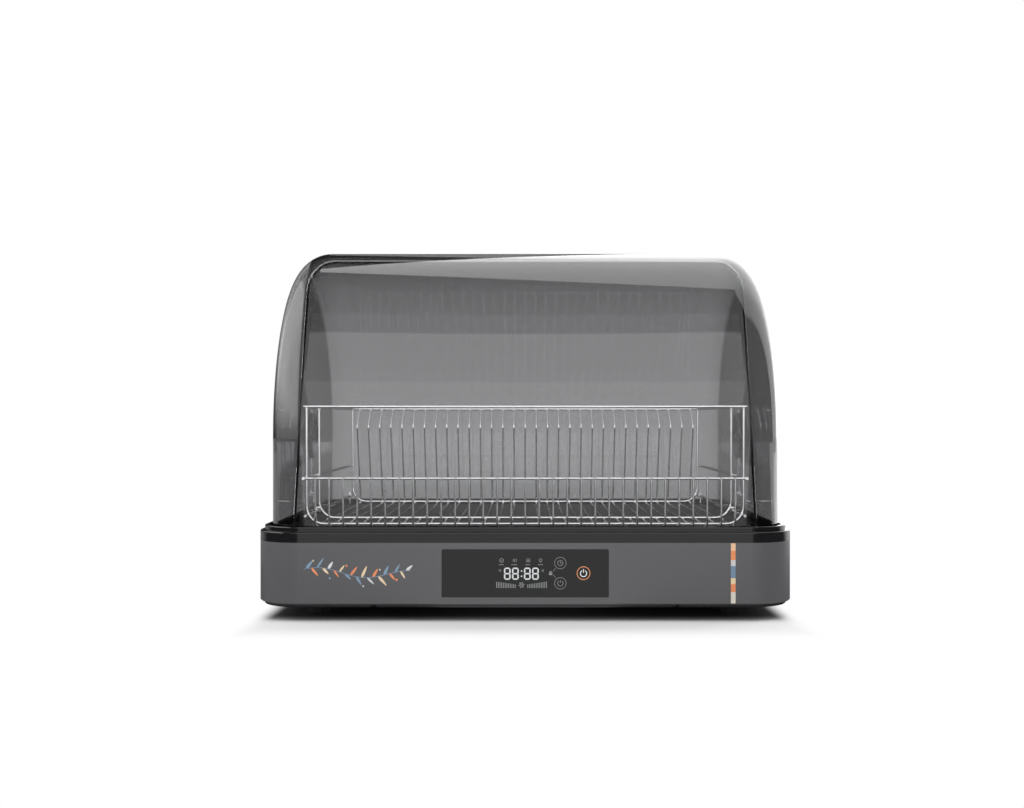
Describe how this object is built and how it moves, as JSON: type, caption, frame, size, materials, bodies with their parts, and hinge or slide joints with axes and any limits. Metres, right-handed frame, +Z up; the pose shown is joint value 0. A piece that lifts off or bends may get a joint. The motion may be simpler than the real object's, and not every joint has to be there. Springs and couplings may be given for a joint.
{
  "type": "dish sterilizer cabinet",
  "caption": "Countertop dish dryer and steriliser: wire rack on a drip tray under a clear arched hood whose front half swings up and back, on a low base with a touch panel.",
  "frame": {"origin": "on the table, under the middle of the base", "axes": "+X to the user's right, +Y to the back, +Z up"},
  "size_m": [0.54, 0.444, 0.391],
  "materials": {
    "grey_moulding": "satin",
    "dark_moulding": "matt",
    "gloss_black": "gloss",
    "clear_smoke": "clear",
    "clear_hub": "clear",
    "soft_black": "matt",
    "rubber": "matt",
    "steel": "satin",
    "wire": "polished",
    "tray_black": "gloss",
    "bright_sheet": "bright",
    "tube_glass": "clear",
    "white_moulding": "matt",
    "panel_glass": "gloss",
    "board": "satin",
    "brass": "bright"
  },
  "bodies": {
    "root": {"air_duct": "dark_moulding", "base_housing": "grey_moulding", "blower_housing": "dark_moulding", "blower_lid": "dark_moulding", "blower_motor": "bright_sheet", "board_components": "dark_moulding", "bottom_pan": "dark_moulding", "case_screws": "steel", "control_panel": "panel_glass", "cover_bumpers": "soft_black", "cover_screws": "steel", "deck": "gloss_black", "display_board": "board", "display_module": "dark_moulding", "foot_screws": "steel", "heater_block": "bright_sheet", "hinge_hubs": "clear_hub", "hinge_screws": "steel", "hinge_washers": "soft_black", "inlet_pins": "brass", "lamp_ballast": "dark_moulding", "lamp_caps": "bright_sheet", "lamp_holders": "white_moulding", "lamp_trough": "bright_sheet", "main_board": "board", "outlet_grille": "dark_moulding", "power_inlet": "dark_moulding", "rear_cover": "clear_smoke", "rubber_feet": "rubber", "touch_springs": "steel", "uv_lamp": "tube_glass"},
    "front_cover": {"front_cover": "clear_smoke", "hinge_caps": "clear_hub"},
    "drip_tray": {"drip_tray": "tray_black"},
    "dish_rack": {"rack_back_frame": "wire", "rack_back_wires": "wire", "rack_feet": "wire", "rack_floor_wires": "wire", "rack_front_frame": "wire", "rack_front_wires": "wire", "rack_low_rails": "wire", "rack_mid_rails": "wire", "rack_middle_frame": "wire", "rack_top_rails": "wire"},
    "blower_wheel": {"blower_wheel": "dark_moulding", "motor_shaft": "steel"}
  },
  "joints": [
    {"name": "cover_hinge", "type": "hinge", "parent": "root", "child": "front_cover", "pos_m": [0, 0, 0.181], "axis": [-1, 0, 0], "range_deg": [0, 70]},
    {"name": "tray_lift", "type": "slide", "parent": "root", "child": "drip_tray", "axis": [0, 0, 1], "range_m": [0, 0.02]},
    {"name": "rack_lift", "type": "slide", "parent": "drip_tray", "child": "dish_rack", "axis": [0, 0, 1], "range_m": [0, 0.05]},
    {"name": "fan_spin", "type": "hinge", "parent": "root", "child": "blower_wheel", "pos_m": [0.05, 0.06, 0.058], "axis": [0, 0, 1], "continuous": true}
  ]
}
